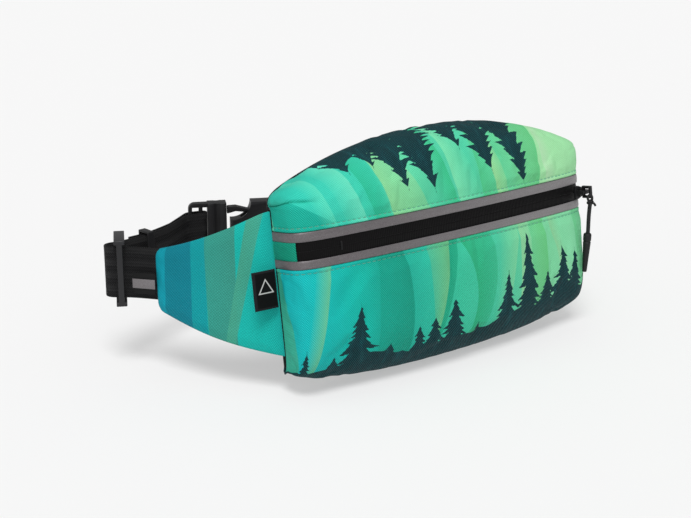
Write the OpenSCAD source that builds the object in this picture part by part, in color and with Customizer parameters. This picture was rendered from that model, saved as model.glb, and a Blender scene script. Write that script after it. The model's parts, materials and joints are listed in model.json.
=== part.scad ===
// Waist pack: a printed fabric pouch with a front zip, two tapered wings, and a webbing belt
// that closes behind the pouch with a side-release buckle.
// Frame: +X towards the closed end of the zip, +Y towards the wearer, +Z up. The origin is the
// middle of the back panel's face, where the pouch lies on the wearer. The shapes are described
// from the ground under the pouch's lower back edge, and placed() moves them to that origin.

/* [Pouch] */
// Width between the two end seams
pouch_w = 227; // [219:1:235]
// Height at the middle of the arched top
pouch_h = 141; // [136:1:146]
// Depth from the back panel to the middle of the zip
pouch_d = 35; // [33:0.5:38]
// Height of the end seams' upper ends
end_top = 116.6; // [114:0.1:119]
// Height of the end seams' lower ends
end_bottom = 13.6; // [11:0.1:16]
// Angle by which the pouch leans back
lean = 9.26; // [6:0.01:12]
// Radius of the front face in plan, and of the zip
front_radius = 940; // [800:10:1100]

/* [Zip] */
// Height of the lower edge of the lower reflective strip
zip_z = 75.8; // [73:0.1:79]
// Height of the lower reflective strip
strip_low_h = 4.8; // [4:0.1:5.5]
// Height of the upper reflective strip
strip_high_h = 5.3; // [4.5:0.1:6]
// Height of black zip that shows between the strips
zip_gap = 10.8; // [10:0.1:12]
// Distance of the closed slider from the pouch's middle
slider_x = 106.5; // [100:0.5:106.5]
// Length of the fabric tab over the zip's left end
tab_len = 19; // [15:0.5:22]

/* [Belt] */
// Width of the webbing
web_w = 32; // [30:0.5:32]
// Thickness of the webbing
web_t = 1.3; // [1:0.1:1.5]
// Height of the belt's centre line at the wings
belt_z = 60; // [57:0.5:63]
// Height of the strap's centre line where it runs to the buckle
strap_z = 61.7; // [61.6:0.1:62.2]
// Height of the buckle's centre line
buckle_z = 65; // [64.5:0.1:65]
// Height of a wing at its outer end
wing_end_h = 35; // [33:1:38]

/* [Hidden] */

teal = "#36c4b0";
mint = "#63d3a4";
black = "#151515";
grey = "#8a8a8c";

gap = 0.35;              // clearance left between neighbouring pieces
half_w = pouch_w / 2;
end_depth = 4.3;         // depth of the pouch at its end seams
corner_power = 14.6;     // how late the front turns back towards the end seams
corner_root = 5;         // how tight that turn is
fabric_t = 1.5;          // thickness of the printed fabric with its backing
lining_t = 0.7;
stations = 15;           // cross-sections between the middle and one end seam
ring_steps = 10;         // points along half a section
zip_top = zip_z + strip_low_h + zip_gap + strip_high_h;
zip_mid = zip_z + strip_low_h + zip_gap / 2;
arc_y = front_radius - pouch_d;   // centre of the zip's arc, behind the back panel
tape_t = 0.8;
coil_t = 1.4;
slit = 0.6;              // half of the slit between the two tapes

// Outer shape of the pouch, in its own upright frame.
function ratio(x) = min(1, abs(x) / half_w);
function depth(x) = end_depth + (pouch_d - end_depth - x * x / (2 * front_radius))
    * pow(1 - pow(ratio(x), corner_power), 1 / corner_root);
// The dart at the left end draws the last few millimetres of the top edge down.
shoulder = 5.5;
function top_z(x) = end_top + (pouch_h - end_top) * (1 - pow(ratio(x), 2.1))
    - (x < 0 ? shoulder * pow(ratio(x), 40) : 0);
function bottom_z(x) = end_bottom * pow(ratio(x), 2.7);
function station_x(i) = half_w * sin(90 * i / stations);

// Powers of the two panels' sections: round in the middle, boxier towards the sewn corners.
function lower_power(x) = 3 + 2.2 * pow(ratio(x), 8);
function upper_power(x) = 3.9 + 4 * pow(ratio(x), 8);

// A point of the lower or upper panel at station i and angle a, moved inwards by inset.
function inward(x, inset) = x * (half_w - inset) / half_w;
function lower_point(i, a, inset, z0) = let (x = station_x(i), b = bottom_z(x) + inset)
    [inward(x, inset), -max(0.5, depth(x) - inset) * pow(sin(a), 2 / lower_power(x)),
     z0 - (z0 - b) * pow(cos(a), 2 / lower_power(x))];
function upper_point(i, a, inset, z0) = let (x = station_x(i), t = top_z(x) - inset)
    [inward(x, inset), -max(0.5, depth(x) - inset) * pow(cos(a), 2 / upper_power(x)),
     z0 + (t - z0) * pow(sin(a), 2 / upper_power(x))];
function lower_grid(inset, z0) = [for (i = [-stations:stations])
    [for (k = [0:ring_steps]) lower_point(i, 90 * k / ring_steps, inset, z0)]];
function upper_grid(inset, z0) = [for (i = [-stations:stations])
    [for (k = [0:ring_steps]) upper_point(i, 90 * k / ring_steps, inset, z0)]];
function band_grid(z_list, inset) = [for (i = [-stations:stations])
    let (x = station_x(i)) [for (z = z_list) [inward(x, inset), inset - depth(x), z]]];

// A closed sheet between two grids of points that have the same number of rows and columns.
module sheet(front, back) {
    rows = len(front);
    cols = len(front[0]);
    offset_back = rows * cols;
    function at(i, j) = i * cols + j;
    quads = [for (i = [0:rows - 2]) for (j = [0:cols - 2])
        [at(i, j), at(i, j + 1), at(i + 1, j + 1), at(i + 1, j)]];
    rim = concat(
        [for (j = [0:cols - 2]) [at(0, j), at(0, j + 1)]],
        [for (i = [0:rows - 2]) [at(i, cols - 1), at(i + 1, cols - 1)]],
        [for (j = [cols - 1:-1:1]) [at(rows - 1, j), at(rows - 1, j - 1)]],
        [for (i = [rows - 1:-1:1]) [at(i, 0), at(i - 1, 0)]]);
    polyhedron(
        points = [for (grid = [front, back]) for (row = grid) for (p = row) p],
        faces = concat(
            [for (q = quads) [q[0], q[1], q[2]]],
            [for (q = quads) [q[0], q[2], q[3]]],
            [for (q = quads) [q[2] + offset_back, q[1] + offset_back, q[0] + offset_back]],
            [for (q = quads) [q[3] + offset_back, q[2] + offset_back, q[0] + offset_back]],
            [for (e = rim) [e[1], e[0], e[0] + offset_back]],
            [for (e = rim) [e[1], e[0] + offset_back, e[1] + offset_back]]));
}

module leaned() {
    rotate([-lean, 0, 0]) children();
}

// The middle of the back panel's face becomes the origin.
back_t = 2;
rest_z = 70;
module placed() {
    translate(-leaned_point([0, gap + back_t, rest_z])) children();
}

module lower_front_panel() {
    color(mint) leaned() sheet(lower_grid(fabric_t, zip_z - gap), lower_grid(0, zip_z - gap));
}

module upper_front_panel() {
    color(mint) leaned() sheet(upper_grid(0, zip_top + gap), upper_grid(fabric_t, zip_top + gap));
}

module lining_lower() {
    skin = fabric_t + gap;
    color(grey) leaned()
        sheet(lower_grid(skin + lining_t, zip_z - 1), lower_grid(skin, zip_z - 1));
}

module lining_upper() {
    skin = fabric_t + gap;
    color(grey) leaned()
        sheet(upper_grid(skin, zip_top + 1), upper_grid(skin + lining_t, zip_top + 1));
}

// The outline of the back, in the X-Z plane, shrunk by inset.
module back_outline(inset) {
    xs = [for (i = [-stations:stations]) inward(station_x(i), inset)];
    count = len(xs);
    polygon(concat(
        [for (x = xs) [x, bottom_z(x) + inset]],
        [for (i = [count - 1:-1:0]) [xs[i], top_z(xs[i]) - inset]]));
}

module back_plate(inset, y, thickness) {
    translate([0, y + thickness, 0]) rotate([90, 0, 0])
        linear_extrude(thickness) back_outline(inset);
}

module back_panel() {
    color(black) leaned() back_plate(0, gap, back_t);
}

module back_foam() {
    foam_t = 4;
    color("#303030") leaned() back_plate(9, -foam_t - gap, foam_t);
}

module seam_binding() {
    strip = [1.6, 4];
    translate([half_w + gap, -strip[1] / 2, end_bottom])
        cube([strip[0], strip[1], end_top - shoulder - end_bottom]);
}

module seam_binding_right() {
    color(teal) leaned() seam_binding();
}

module seam_binding_left() {
    color(teal) leaned() mirror([1, 0, 0]) seam_binding();
}

module reflective_strip_lower() {
    z_list = [zip_z, zip_z + strip_low_h];
    color(grey) leaned() sheet(band_grid(z_list, 0), band_grid(z_list, -0.6));
}

module reflective_strip_upper() {
    z_list = [zip_top - strip_high_h, zip_top];
    color(grey) leaned() sheet(band_grid(z_list, 0), band_grid(z_list, -0.6));
}

// A band on the zip's arc: from x0 to x1, from radius r0 to r1, from height z0 to z1.
module arc_band(x0, x1, r0, r1, z0, z1) {
    a0 = asin(x0 / front_radius);
    a1 = asin(x1 / front_radius);
    translate([0, arc_y, z0]) rotate([0, 0, a0 - 90])
        rotate_extrude(angle = a1 - a0, $fn = 720)
            translate([r0, 0]) square([r1 - r0, z1 - z0]);
}

// The left corner in plan: x of the outline where it is d deep, and the path from the end seam
// round the corner. At -arc_x0 the path meets the zip's arc.
arc_x0 = 85;
corner_drop = pouch_d - end_depth - half_w * half_w / (2 * front_radius);
function corner_x(d) = half_w
    * pow(1 - pow((d - end_depth) / corner_drop, corner_root), 1 / corner_power);
function corner_path(d0, d1) = [for (k = [0:10]) let (d = d0 + (d1 - d0) * k / 10)
    [-corner_x(d), -d]];
corner_end = end_depth + 0.9 * corner_drop;

module tape(z0, z1) {
    path = concat(corner_path(end_depth + 0.2, corner_end),
        [for (x = [arc_x0 + 19:-4:arc_x0 - 1]) [-x, -depth(x)]]);
    ribbon([for (i = [0:len(path) - 1]) side(path, i, tape_t / 2)], tape_t, z1 - z0,
        (z0 + z1) / 2);
    arc_band(-arc_x0, 112, front_radius - tape_t, front_radius, z0, z1);
}

module zip_tape_lower() {
    color(black) leaned() tape(zip_z + strip_low_h + gap, zip_mid - slit);
}

module zip_tape_upper() {
    color(black) leaned() tape(zip_mid + slit, zip_top - strip_high_h - gap);
}

module zip_coil(z0) {
    coil_front = front_radius - tape_t - 0.1;
    arc_band(-arc_x0 + 0.5, 112, coil_front - coil_t, coil_front, z0, z0 + 2);
}

module zip_coil_lower() {
    color(black) leaned() zip_coil(zip_mid - slit - 2.1);
}

module zip_coil_upper() {
    color(black) leaned() zip_coil(zip_mid + slit + 0.1);
}

module zip_stops() {
    stop_w = 1;
    stop_front = front_radius + 1.2;
    color(black) leaned() for (x = [-arc_x0 - 0.5, 112.2])
        arc_band(x, x + stop_w, front_radius + gap, stop_front, zip_mid - 2.5, zip_mid + 2.5);
}

module zip_end_tab() {
    tab_t = 0.8;
    path = corner_path(end_depth + 0.9, end_depth + tab_len);
    color(mint) leaned()
        ribbon([for (i = [0:len(path) - 1]) side(path, i, -gap - tab_t / 2)], tab_t,
            zip_gap - 2 * gap, zip_mid);
}

// Places children on the zip: x along it, y outwards from the tape's face, z from its centre.
module on_zip(x) {
    translate([0, arc_y, zip_mid]) rotate([0, 0, asin(x / front_radius)])
        translate([0, -front_radius, 0]) rotate([0, 0, 180]) mirror([1, 0, 0]) children();
}

plate_len = 10.5;        // the slider's plates
plate_h = 8.4;
plate_t = 1.5;
crown_y = 3.9;           // distance of the crown's pin hole from the tape
crown_x = 0.3;

module slider_plate(y) {
    translate([0, y + plate_t, 0]) rotate([90, 0, 0]) linear_extrude(plate_t) hull() {
        translate([-plate_len / 2 + 1.5, 0]) square([3, plate_h], center = true);
        translate([plate_len / 2 - 2, 0]) circle(r = 2, $fn = 32);
    }
}

module slider_body() {
    inner_y = -tape_t - coil_t - 0.5 - plate_t;
    color(black) leaned() on_zip(slider_x) {
        slider_plate(gap);
        slider_plate(inner_y);
        // post that parts the two tapes
        translate([-1.5, inner_y + plate_t - 0.1, -slit + gap / 2])
            cube([3, gap - inner_y - plate_t + 0.2, 2 * slit - gap]);
        // crown that holds the pull ring
        difference() {
            translate([-4, gap + plate_t - 0.1, -1.2]) cube([8, crown_y + 1.7 - gap, 2.4]);
            translate([crown_x, crown_y, 0]) cylinder(r = 1.6, h = 4, center = true, $fn = 32);
        }
    }
}

// The ring stands out from the tape: its inner leg passes through the crown and its outer leg
// carries the cord.
ring_len = 5.5;
ring_h = 8;
wire_y = 1.8;
wire_x = 2;

module pull_ring() {
    color(black) leaned() on_zip(slider_x) translate([crown_x, crown_y, 0])
        rotate([90, 0, 90]) linear_extrude(wire_x, center = true)
            translate([ring_len / 2, 0]) difference() {
                square([ring_len + wire_y, ring_h], center = true);
                square([ring_len - wire_y, ring_h - 2 * wire_y], center = true);
            }
}

// The cord hangs straight down from a knot under the ring's outer leg.
cord_r = 1.4;
knot_r = 2.1;
cord_plan = [slider_x + crown_x,
    slider_x * slider_x / (2 * front_radius) - pouch_d - crown_y - ring_len];
knot_z = zip_mid - ring_h / 2 - knot_r - 0.7;
cord_top = [cord_plan[0], cord_plan[1] * cos(lean) + knot_z * sin(lean),
    knot_z * cos(lean) - cord_plan[1] * sin(lean)];
cord_len = 20;
grip_len = 26;

module pull_cord() {
    color(black) translate(cord_top) {
        sphere(r = knot_r, $fn = 32);
        translate([0, 0, -cord_len]) cylinder(r = cord_r, h = cord_len, $fn = 32);
    }
}

module cord_grip() {
    color(black) translate(cord_top - [0, 0, cord_len + gap + grip_len]) {
        cylinder(r1 = 1.5, r2 = 2.6, h = grip_len - 6, $fn = 32);
        translate([0, 0, grip_len - 6]) cylinder(r = 2.6, h = 6, $fn = 32);
    }
}

// Wings: each runs from the end seam, back and outwards, to a short upright end.
wing_root_z = [24, 108];
wing_end = [-155.3, 73.3];
wing_steps = 8;

function leaned_point(p) = [p[0], p[1] * cos(lean) + p[2] * sin(lean),
    p[2] * cos(lean) - p[1] * sin(lean)];
// u runs from the seam to the end, v from the lower edge to the upper edge.
function wing_point(u, v, back) = let (
    root = leaned_point([-half_w - 3, -1, wing_root_z[0] + v * (wing_root_z[1] - wing_root_z[0])]),
    tip = [wing_end[0] + 3 * (v - 0.5), wing_end[1] + 7 * (v - 0.5),
        belt_z - 1 + (v - 0.5) * wing_end_h],
    bow = 4 * sin(180 * u), sag = 2.2 * sin(180 * u))
    root + (tip - root) * u + [(back - bow) * 0.83, (back - bow) * 0.56, -sag];
function wing_grid(back, v0, u0, u1) = [for (i = [0:wing_steps])
    [for (k = [0:6]) wing_point(u0 + (u1 - u0) * i / wing_steps, v0 + (1 - 2 * v0) * k / 6, back)]];

module wing_outer() {
    sheet(wing_grid(0, 0, 0, 1), wing_grid(1.2, 0, 0, 1));
}

module wing_lining() {
    sheet(wing_grid(1.6, 0.05, 0.04, 0.98), wing_grid(4.4, 0.05, 0.04, 0.98));
}

module wing_left() {
    color(teal) wing_outer();
}

module wing_right() {
    color(mint) mirror([1, 0, 0]) wing_outer();
}

module wing_pad_left() {
    color(black) wing_lining();
}

module wing_pad_right() {
    color(black) mirror([1, 0, 0]) wing_lining();
}

module side_label() {
    label = [15, 22.5];
    label_turn = 176;        // it stands straight out of the end seam
    sewn = leaned_point([-half_w - 2.6, -6.5, 64.8]);
    color(black) translate(sewn) rotate([-lean, 0, 0]) rotate([0, 0, label_turn])
        translate([0, -0.4, -label[1] / 2]) cube([label[0], 0.8, label[1]]);
}

// Webbing: a path in plan, given a thickness, and extruded upright.
function bezier(a, b, c, d, n) = [for (k = [0:n]) let (t = k / n, s = 1 - t)
    s * s * s * a + 3 * s * s * t * b + 3 * s * t * t * c + t * t * t * d];
function side(path, i, w) = let (
    last = len(path) - 1,
    d = path[min(i + 1, last)] - path[max(i - 1, 0)],
    n = [-d[1], d[0]] / norm(d))
    path[i] + n * w;

module ribbon(path, thickness, width, z) {
    count = len(path);
    translate([0, 0, z - width / 2]) linear_extrude(width) polygon(concat(
        [for (i = [0:count - 1]) side(path, i, thickness / 2)],
        [for (i = [count - 1:-1:0]) side(path, i, -thickness / 2)]));
}

// The tri-glide stands edge-on to the strap's fold, outside the left wing's end.
glide_at = [-166.3, 96.8];
glide_turn = 62;
glide_along = [cos(glide_turn), sin(glide_turn)];
glide_out = [-sin(glide_turn), cos(glide_turn)];
glide_size = [22, 3.4, 41];
glide_slot = 5.5;
glide_bar = 4.5;
glide_z = belt_z + 2;
wing_heading = [-7, 8];  // direction in which the webbing leaves the wing
function glide_point(p, q) = glide_at + glide_along * p + glide_out * q;

module tri_glide() {
    slot_h = web_w + 2;
    end_bar = [6.4, 2.6];    // thicker bars across both ends
    color(black) translate([glide_at[0], glide_at[1], glide_z])
        rotate([0, 0, glide_turn]) union() {
            difference() {
                cube(glide_size, center = true);
                for (s = [-1, 1])
                    translate([s * (glide_bar + glide_slot) / 2, 0, 0])
                        cube([glide_slot, 10, slot_h], center = true);
            }
            for (s = [-1, 1])
                translate([0, 0, s * (glide_size[2] - end_bar[1]) / 2])
                    cube([glide_size[0], end_bar[0], end_bar[1]], center = true);
        }
}

slot_mid = (glide_bar + glide_slot) / 2;

module webbing_left() {
    start = [wing_end[0] - 2.6, wing_end[1] + 3.4];
    into = bezier(start, start + wing_heading / 2, glide_point(-slot_mid - 1, -9),
        glide_point(-slot_mid, 0), 8);
    over = bezier(glide_point(-slot_mid + 0.2, 1), glide_point(-slot_mid + 0.3, 12),
        glide_point(slot_mid - 0.3, 12), glide_point(slot_mid, 0), 10);
    color(black) ribbon(concat(into, over), web_t, web_w, belt_z + 1.5);
}

// Buckle frame: u along the belt, v through its thickness, z up from its centre line.
buckle_at = [-105, 119];
buckle_turn = -27;
function buckle_point(u, v) = buckle_at
    + u * [cos(buckle_turn), sin(buckle_turn)] + v * [-sin(buckle_turn), cos(buckle_turn)];

module in_buckle() {
    translate([buckle_at[0], buckle_at[1], buckle_z]) rotate([0, 0, buckle_turn]) children();
}

layer_v = 3.2;           // distance of each strap layer from the buckle's middle plane

module webbing_adjust() {
    near = bezier(glide_point(slot_mid + 1.2, -1.6), [-150, 102.1], [-124, 108],
        buckle_point(-1, -layer_v), 12);
    round_bar = [for (k = [0:6]) let (a = -90 + 30 * k)
        buckle_point(9.9 + 0.7 * cos(a), layer_v * sin(a))];
    far = bezier(buckle_point(-1, layer_v), [-122, 114], [-140, 106], [-155, 105.6], 12);
    color(black) ribbon(concat(near, round_bar, far), web_t, web_w, strap_z);
}

module webbing_right() {
    start = [-wing_end[0] + 2.6, wing_end[1] + 3.4];
    turn = bezier(start, [168, 94], [172, 114], [150, 112], 12);
    run = bezier([147, 111.6], [100, 106], [20, 52], buckle_point(76, -2), 16);
    // the end is sewn round the shell's bar
    round_bar = [for (k = [0:8]) let (a = -90 - 22.5 * k)
        buckle_point(64.5 + 2.7 * cos(a), 5.6 * sin(a))];
    loop = concat([buckle_point(70, -5)], round_bar, [buckle_point(70, 5), buckle_point(75, 1.4)]);
    color(black) ribbon(concat(turn, run, loop), web_t, web_w, strap_z);
}

keeper_turn = 6;
keeper_at = [-143, 105.3];

module strap_keeper() {
    keeper = [5, 10, web_w + 4];
    color(black) translate([keeper_at[0], keeper_at[1], strap_z]) rotate([0, 0, keeper_turn])
        difference() {
        cube(keeper, center = true);
        cube([keeper[0] + 1, keeper[1] - 2.4, keeper[2] - 2.4], center = true);
    }
}

// A narrow flat loop with a light stripe, sewn over the webbing where it leaves the wing.
module tab_plate(y, size) {
    translate([wing_end[0] - 1.5, wing_end[1] + 1.2, belt_z - 3])
        rotate([0, 0, 180 - 50]) translate([-2.2, y, -size[2] / 2]) cube(size);
}

module reflective_tab() {
    color(black) tab_plate(1.6, [14, 0.8, 13]);
}

module reflective_stripe() {
    color(grey) tab_plate(2.7, [14, 0.3, 5.8]);
}

shell_h = 45;            // height of the buckle across the belt
shell_t = 9;             // thickness of the female shell
half_h = shell_h / 2;
corner_r = 4;            // rounding of the buckle's outline
slot_z = 19.6;           // half the height of the plug's slots

module bar(u0, u1, half_z, half_v) {
    translate([u0, -half_v, -half_z]) cube([u1 - u0, 2 * half_v, 2 * half_z]);
}

// A plate with rounded corners in the buckle's u-z plane.
module rounded_plate(u0, u1, half_z, half_v) {
    rotate([90, 0, 0]) linear_extrude(2 * half_v, center = true) hull()
        for (u = [u0 + corner_r, u1 - corner_r])
            for (z = [-1, 1])
                translate([u, z * (half_z - corner_r)]) circle(r = corner_r, $fn = 32);
}

module buckle_male() {
    color(black) in_buckle() {
        difference() {
            rounded_plate(0, 18, half_h, 2.2);
            bar(2.4, 6.6, slot_z, 5);
            bar(9, 12.1, slot_z, 5);
        }
        difference() {
            bar(12, 24, half_h, 4.2);
            // finger grooves in the collar's two faces
            for (s = [-1, 1])
                translate([18, s * 7.2, 0])
                    cylinder(r = 3.6, h = shell_h + 2, center = true, $fn = 48);
        }
        bar(23.9, 50, 1.8, 1.6);
    }
}

module prong() {
    rotate([90, 0, 0]) linear_extrude(3.6, center = true) polygon([
        [24.5, 14.6], [24.5, 19.6], [30, 19.8], [36, 18.1], [41, 16.6], [43, 16.4], [43.6, 18.8],
        [47, 17.6], [53, 12], [51, 11], [44, 13], [36, 15.2], [30, 16]]);
}

module prong_upper() {
    color(black) in_buckle() prong();
}

module prong_lower() {
    color(black) in_buckle() mirror([0, 0, 1]) prong();
}

module buckle_female() {
    finger_r = 11.5;
    mouth_z = 17.4;
    color(black) in_buckle() difference() {
        rounded_plate(26.5, 67, half_h, shell_t / 2);
        // hollows at both sides where fingers reach the prongs
        for (s = [-1, 1])
            translate([28, 0, s * half_h]) rotate([90, 0, 0])
                cylinder(r = finger_r, h = 20, center = true, $fn = 64);
        // slot for the plug's middle guide
        bar(25, 52, 2.4, 2.2);
        // mouth and cavity of each prong
        for (s = [-1, 1]) {
            translate([33, -2.4, s * (7.5 + mouth_z) / 2 - (mouth_z - 7.5) / 2])
                cube([10, 4.8, mouth_z - 7.5]);
            translate([42.9, -2.4, s * 13.6 - 6.1]) cube([12, 4.8, 12.2]);
        }
        // slot round the fixed webbing bar
        bar(59.5, 64, slot_z, 20);
    }
}

placed() lower_front_panel();
placed() upper_front_panel();
placed() back_panel();
placed() back_foam();
placed() lining_lower();
placed() lining_upper();
placed() seam_binding_left();
placed() seam_binding_right();
placed() reflective_strip_lower();
placed() reflective_strip_upper();
placed() zip_tape_lower();
placed() zip_tape_upper();
placed() zip_coil_lower();
placed() zip_coil_upper();
placed() zip_stops();
placed() zip_end_tab();
placed() slider_body();
placed() pull_ring();
placed() pull_cord();
placed() cord_grip();
placed() side_label();
placed() wing_left();
placed() wing_right();
placed() wing_pad_left();
placed() wing_pad_right();
placed() webbing_left();
placed() webbing_adjust();
placed() webbing_right();
placed() tri_glide();
placed() strap_keeper();
placed() reflective_tab();
placed() reflective_stripe();
placed() buckle_male();
placed() prong_upper();
placed() prong_lower();
placed() buckle_female();
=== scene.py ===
"""Waist pack: fabric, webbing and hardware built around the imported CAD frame."""
import json
import bmesh
import bpy
import numpy as np
from numpy import (arange, array, broadcast_to, clip, concatenate, cos, diff, exp, full, full_like, interp,
    linspace, maximum, meshgrid, minimum, pi, radians, sin, sqrt, stack)
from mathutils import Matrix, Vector

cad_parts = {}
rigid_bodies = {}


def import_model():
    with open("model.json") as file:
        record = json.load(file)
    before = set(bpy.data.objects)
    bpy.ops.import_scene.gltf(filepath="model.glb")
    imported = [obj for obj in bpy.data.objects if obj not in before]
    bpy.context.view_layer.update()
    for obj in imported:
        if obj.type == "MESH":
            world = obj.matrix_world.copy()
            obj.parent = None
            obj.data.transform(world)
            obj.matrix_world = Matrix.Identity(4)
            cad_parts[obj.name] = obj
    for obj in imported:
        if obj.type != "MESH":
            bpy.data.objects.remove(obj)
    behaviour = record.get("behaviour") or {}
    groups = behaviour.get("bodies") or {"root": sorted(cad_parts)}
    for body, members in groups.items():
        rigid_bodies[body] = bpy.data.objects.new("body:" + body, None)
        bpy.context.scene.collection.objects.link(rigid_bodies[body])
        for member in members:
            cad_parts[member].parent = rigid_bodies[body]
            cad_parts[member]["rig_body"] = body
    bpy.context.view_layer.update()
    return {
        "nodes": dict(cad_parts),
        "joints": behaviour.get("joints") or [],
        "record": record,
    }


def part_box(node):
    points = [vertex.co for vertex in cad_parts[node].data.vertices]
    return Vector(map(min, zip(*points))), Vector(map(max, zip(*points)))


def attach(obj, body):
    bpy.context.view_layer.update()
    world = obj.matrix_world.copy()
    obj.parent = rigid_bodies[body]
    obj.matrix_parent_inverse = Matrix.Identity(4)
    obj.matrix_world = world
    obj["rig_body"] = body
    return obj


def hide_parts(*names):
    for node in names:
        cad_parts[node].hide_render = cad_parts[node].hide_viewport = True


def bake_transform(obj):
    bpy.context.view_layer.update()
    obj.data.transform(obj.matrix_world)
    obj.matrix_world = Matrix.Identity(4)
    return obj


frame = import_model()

MM = 0.001

# ---- the frame's sizes, in mm
REST = next(m for m in frame["record"]["mounts"] if m["name"] == "back_rest")
COS, SIN = REST["axis"][1], -REST["axis"][2]
BACK_Y, REST_Z = 2.35, 70      # the back face and the rest point's height, from the ground


def xyz(*parts):
    """Points from their coordinates, each spread over the others' shape."""
    return stack(np.broadcast_arrays(*parts), -1)


def leaned(p):
    """From the pouch's own upright frame to the upright frame on the ground."""
    p = np.asarray(p, float)
    return xyz(p[..., 0], p[..., 1] * COS + p[..., 2] * SIN, p[..., 2] * COS - p[..., 1] * SIN)


ORIGIN = leaned([0, BACK_Y, REST_Z])


def world(p):
    return (np.asarray(p, float) - ORIGIN) * MM


def node_box(name):
    lo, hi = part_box(name)
    return array(lo) / MM + ORIGIN, array(hi) / MM + ORIGIN


HALF = (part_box("back_panel")[1].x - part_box("back_panel")[0].x) / 2 / MM
DEPTH, END_DEPTH, RADIUS = 35, 4.3, 940
TOP, END_TOP, END_BOTTOM = 141, 116.6, 13.6
LOW_Z, LOW_H, GAP_H, HIGH_H = 75.8, 4.8, 10.8, 5.3
ZIP_TOP = LOW_Z + LOW_H + GAP_H + HIGH_H
ZIP_MID = LOW_Z + LOW_H + GAP_H / 2
TAB = 19
EDGE = 0.35                      # clearance between neighbouring pieces
COIL_PITCH = 1.27


def ratio(x):
    return minimum(1, abs(x) / HALF)


def smoothstep(x):
    x = clip(x, 0, 1)
    return x * x * (3 - 2 * x)


def bell(x, width):
    return exp(-(x / width) ** 2)


def depth(x):
    return END_DEPTH + (DEPTH - END_DEPTH - x * x / (2 * RADIUS)) * (1 - ratio(x) ** 14.6) ** 0.2


def top_z(x):
    dart = np.where(np.asarray(x) < 0, 5.5 * ratio(x) ** 40, 0)
    return END_TOP + (TOP - END_TOP) * (1 - ratio(x) ** 2.1) - dart


def bottom_z(x):
    return END_BOTTOM * ratio(x) ** 2.7


_x = HALF * sin(linspace(-pi / 2, pi / 2, 6001))
_y = depth(_x)
_s = concatenate([[0], np.cumsum(np.hypot(diff(_x), diff(_y)))])
GIRTH = _s[-1]
_s -= GIRTH / 2


def plan(s):
    """x, depth and outward direction at distance s along the pouch's outline in plan."""
    x, y = interp(s, _s, _x), interp(s, _s, _y)
    e = 0.6
    dx = interp(s + e, _s, _x) - interp(s - e, _s, _x)
    dy = interp(s + e, _s, _y) - interp(s - e, _s, _y)
    length = np.hypot(dx, dy)
    return x, y, -dy / length, dx / length


# ---- mesh helpers
def unit(v):
    return v / maximum(np.linalg.norm(v, axis=-1, keepdims=True), 1e-9)


def run_along(path):
    """Distance along a path at each of its points."""
    return concatenate([[0], np.cumsum(np.linalg.norm(diff(path, axis=0), axis=1))])


def resampled(path, at):
    """Points of a path at distances along it."""
    run = run_along(path)
    return stack([interp(at, run, q) for q in np.transpose(path)], 1)


def linked(name, data, body):
    """A new object in the scene, riding on a body if one is given."""
    obj = bpy.data.objects.new(name, data)
    bpy.context.scene.collection.objects.link(obj)
    if body:
        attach(obj, body)
    return obj


def discard(obj):
    mesh = obj.data
    bpy.data.objects.remove(obj)
    bpy.data.meshes.remove(mesh)


def smoothed(mesh, sharp):
    mesh.shade_smooth()
    mesh.set_sharp_from_angle(angle=radians(sharp))


def mesh_object(name, points, faces, uv=None, body="pack", attributes=None, sharp=50):
    """A mesh from points in mm on the ground frame, riding on a body."""
    mesh = bpy.data.meshes.new(name)
    quads = np.asarray(faces, np.int32)
    mesh.vertices.add(len(points))
    mesh.vertices.foreach_set("co", world(points).astype(np.float32).ravel())
    mesh.loops.add(quads.size)
    mesh.loops.foreach_set("vertex_index", quads.ravel())
    mesh.polygons.add(len(quads))
    mesh.polygons.foreach_set("loop_start", arange(len(quads), dtype=np.int32) * 4)
    mesh.update(calc_edges=True)
    mesh.validate()
    if uv is not None:
        layer = mesh.uv_layers.new(name="UVMap")
        index = np.zeros(len(mesh.loops), np.int32)
        mesh.loops.foreach_get("vertex_index", index)
        layer.data.foreach_set("uv", (np.asarray(uv)[index] * MM).astype(np.float32).ravel())
    for key, values in (attributes or {}).items():
        attribute = mesh.attributes.new(key, "FLOAT", "POINT")
        attribute.data.foreach_set("value", np.asarray(values, np.float32).ravel())
    bm = bmesh.new()
    bm.from_mesh(mesh)
    bmesh.ops.recalc_face_normals(bm, faces=bm.faces)
    bm.to_mesh(mesh)
    bm.free()
    smoothed(mesh, sharp)
    return linked(name, mesh, body)


def grid_faces(rows, cols):
    i, j = meshgrid(arange(rows - 1), arange(cols - 1), indexing="ij")
    a = (i * cols + j).ravel()
    return stack([a, a + 1, a + cols + 1, a + cols], 1)


def grid_uv(s, z):
    """UVs in mm of a grid with columns at s and rows at z."""
    return xyz(np.asarray(s)[None], np.asarray(z)[:, None])


def tube_faces(gaps, sides, rings=9999):
    """Faces between rings of corners; the last ring joins the first where the tube is closed."""
    k, q = (m.ravel() for m in meshgrid(arange(gaps), arange(sides), indexing="ij"))
    w, far = (q + 1) % sides, (k + 1) % rings * sides
    return stack([k * sides + q, k * sides + w, far + w, far + q], 1)


def capped_faces(rings, sides):
    """Faces of a tube whose end rings are closed by fans."""
    ends = [[a, a + i, a + i + 1, a + i + 2] for a in (0, (rings - 1) * sides) for i in range(1, sides - 1,
        2)]
    return concatenate([tube_faces(rings - 1, sides), ends])


def sheet_faces(rows, cols):
    """Faces of a closed sheet: front grid, back grid, and the rim between them."""
    front = grid_faces(rows, cols)
    n = rows * cols
    back = front[:, ::-1] + n
    edge = concatenate([arange(cols), arange(1, rows) * cols + cols - 1,
        (rows - 1) * cols + arange(cols - 2, -1, -1), arange(rows - 2, 0, -1) * cols])
    nxt = np.roll(edge, -1)
    rim = stack([nxt, edge, edge + n, nxt + n], 1)
    return concatenate([front, back, rim])


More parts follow.
